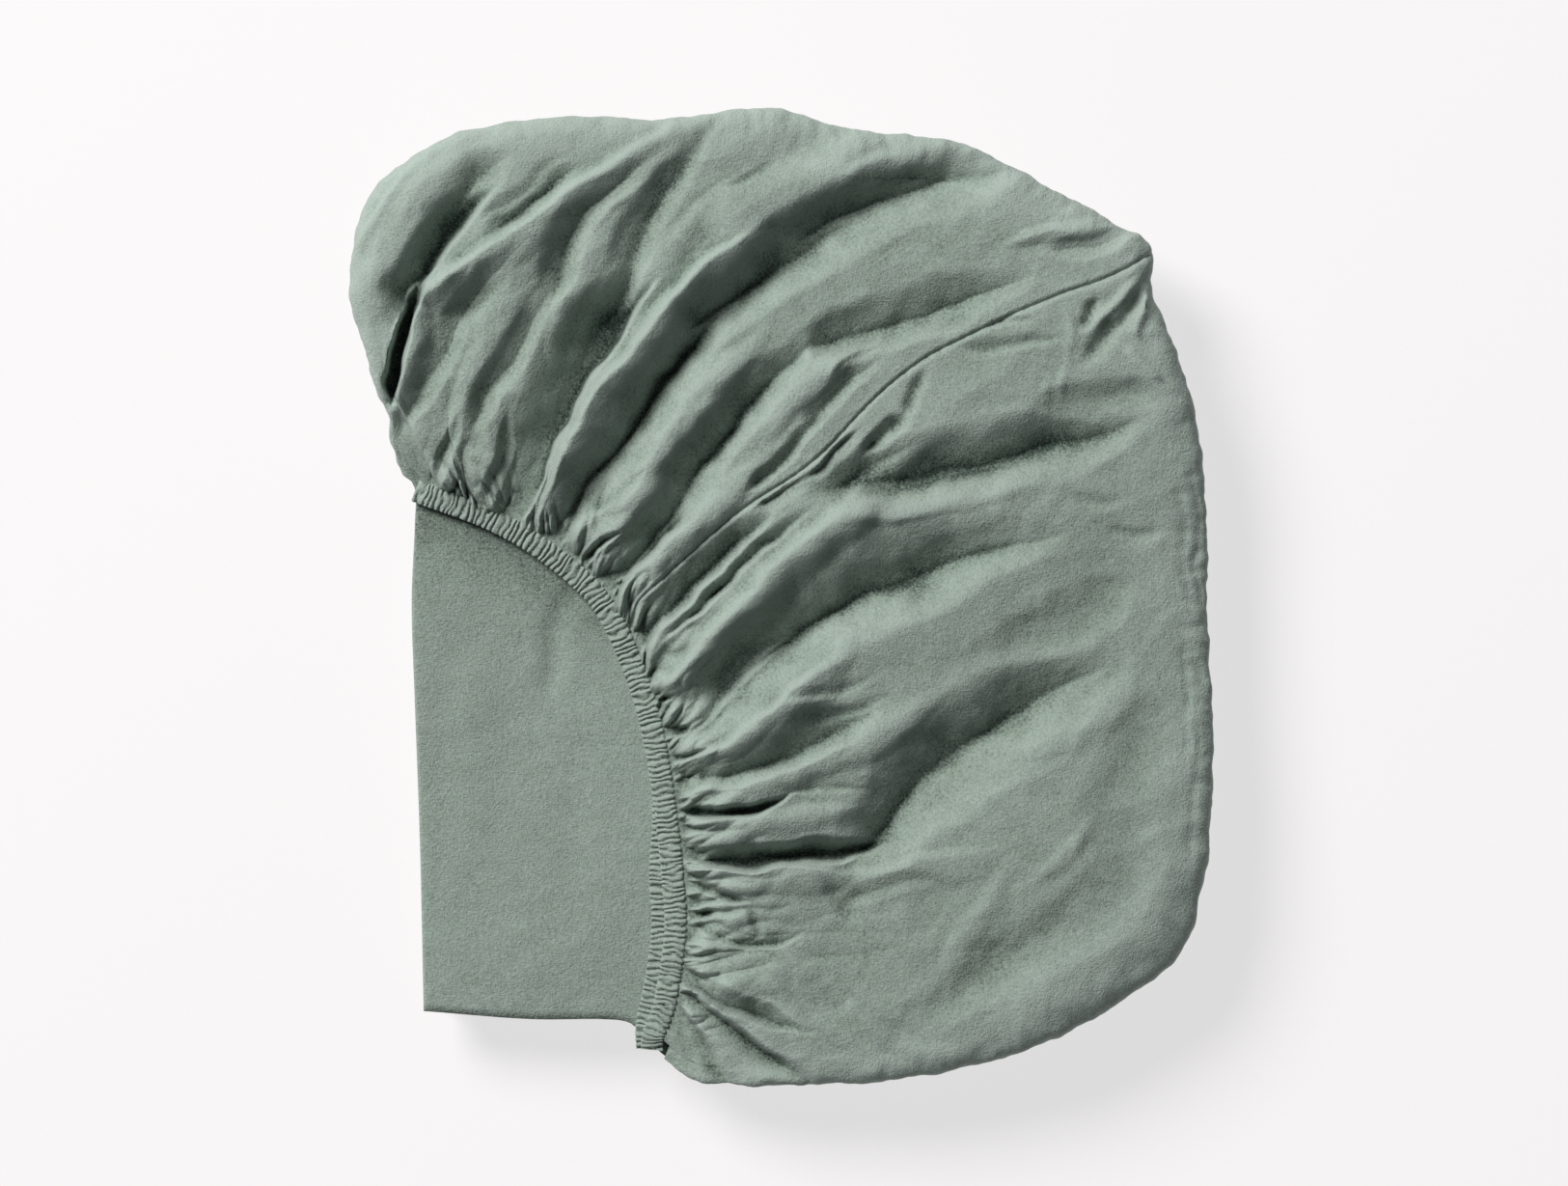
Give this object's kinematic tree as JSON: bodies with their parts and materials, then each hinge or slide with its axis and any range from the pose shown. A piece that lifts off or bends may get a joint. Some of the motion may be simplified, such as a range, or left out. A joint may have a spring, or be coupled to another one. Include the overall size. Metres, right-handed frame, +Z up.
{
  "type": "crumpled fitted sheet",
  "caption": "Fitted bed sheet of washed linen, folded to a flat bundle with one gathered corner pocket puffed on top.",
  "frame": {"origin": "bottom centre of the bundle's bounding box, on the surface it lies on", "axes": "+Z up through the layers, +Y towards the back edge, +X to the right seen from above"},
  "size_m": [0.358, 0.4063, 0.0601],
  "materials": {
    "washed_linen": "matt washed linen, sage green"
  },
  "bodies": {
    "root": {"fitted_sheet": "washed_linen"}
  },
  "joints": []
}
